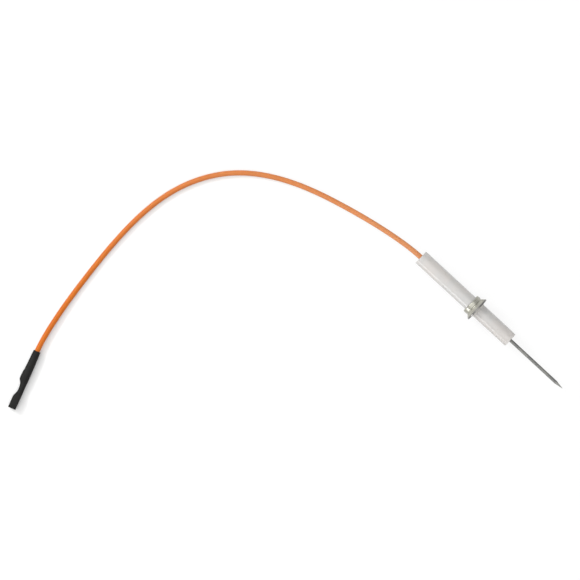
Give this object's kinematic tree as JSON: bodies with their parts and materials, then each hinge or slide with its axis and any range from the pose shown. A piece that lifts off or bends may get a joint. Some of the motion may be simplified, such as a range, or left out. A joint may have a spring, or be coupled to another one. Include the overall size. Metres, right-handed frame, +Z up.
{
  "type": "ignition electrode",
  "caption": "Flanged ceramic spark electrode with a pointed rod and a flexible silicone lead that ends in a sleeved push-on terminal.",
  "frame": {"origin": "centre of the flange's front seating face, on the electrode's axis", "axes": "+X along the electrode's axis, towards the rod's point; +Z up, square to the plane the lead lies in"},
  "size_m": [0.2037, 0.1907, 0.0125],
  "materials": {
    "glazed_alumina": "satin glazed alumina, light grey-white",
    "plated_steel": "turned and rolled, zinc-nickel plated",
    "copper_washer": "soft annealed copper",
    "white_cement": "dry matt ceramic cement",
    "heat_resisting_alloy": "drawn iron-chromium-aluminium wire with a grey oxide",
    "brass_splice": "drawn brass tube",
    "silicone_potting": "cast silicone",
    "orange_silicone": "smooth extruded silicone rubber",
    "tinned_copper": "tinned copper strands",
    "tinned_brass": "pressed tinned brass strip",
    "black_sleeve": "matt heat-shrunk sleeve"
  },
  "bodies": {
    "electrode": {"ceramic_insulator": "glazed_alumina", "flange_collar": "plated_steel", "collar_washer": "copper_washer", "collar_cement": "white_cement", "electrode_rod": "heat_resisting_alloy", "rod_cement": "white_cement", "splice_tube": "brass_splice", "lead_seal": "silicone_potting", "lead_insulation_1": "orange_silicone", "lead_conductor_1": "tinned_copper"},
    "lead_link_2": {"lead_insulation_2": "orange_silicone", "lead_conductor_2": "tinned_copper"},
    "lead_link_3": {"lead_insulation_3": "orange_silicone", "lead_conductor_3": "tinned_copper"},
    "lead_link_4": {"lead_insulation_4": "orange_silicone", "lead_conductor_4": "tinned_copper"},
    "lead_link_5": {"lead_insulation_5": "orange_silicone", "lead_conductor_5": "tinned_copper"},
    "lead_link_6": {"lead_insulation_6": "orange_silicone", "lead_conductor_6": "tinned_copper"},
    "lead_link_7": {"lead_insulation_7": "orange_silicone", "lead_conductor_7": "tinned_copper"},
    "lead_link_8": {"lead_insulation_8": "orange_silicone", "lead_conductor_8": "tinned_copper"},
    "terminal_end": {"lead_insulation_9": "orange_silicone", "lead_conductor_9": "tinned_copper", "terminal": "tinned_brass", "terminal_sleeve": "black_sleeve"}
  },
  "joints": [
    {"name": "lead_lift_1", "type": "hinge", "parent": "electrode", "child": "lead_link_2", "pos_m": [-0.05088, -0.00116, -0.00071], "axis": [-0.1614, 0.9869, 0], "range_deg": [-35, 35]},
    {"name": "lead_swing_2", "type": "hinge", "parent": "lead_link_2", "child": "lead_link_3", "pos_m": [-0.0789, -0.00677, -0.00356], "axis": [0, 0, 1], "range_deg": [-35, 35]},
    {"name": "lead_lift_3", "type": "hinge", "parent": "lead_link_3", "child": "lead_link_4", "pos_m": [-0.10611, -0.01571, -0.00498], "axis": [-0.3908, 0.9205, 0], "range_deg": [-35, 35]},
    {"name": "lead_swing_4", "type": "hinge", "parent": "lead_link_4", "child": "lead_link_5", "pos_m": [-0.12964, -0.03186, -0.00498], "axis": [0, 0, 1], "range_deg": [-35, 35]},
    {"name": "lead_lift_5", "type": "hinge", "parent": "lead_link_5", "child": "lead_link_6", "pos_m": [-0.14381, -0.0565, -0.00498], "axis": [-0.9627, 0.2707, 0], "range_deg": [-35, 35]},
    {"name": "lead_swing_6", "type": "hinge", "parent": "lead_link_6", "child": "lead_link_7", "pos_m": [-0.14781, -0.08486, -0.00498], "axis": [0, 0, 1], "range_deg": [-35, 35]},
    {"name": "lead_lift_7", "type": "hinge", "parent": "lead_link_7", "child": "lead_link_8", "pos_m": [-0.14649, -0.11354, -0.00498], "axis": [-0.9952, -0.0978, 0], "range_deg": [-35, 35]},
    {"name": "lead_swing_8", "type": "hinge", "parent": "lead_link_8", "child": "terminal_end", "pos_m": [-0.14291, -0.14203, -0.00435], "axis": [0, 0, 1], "range_deg": [-35, 35]}
  ]
}
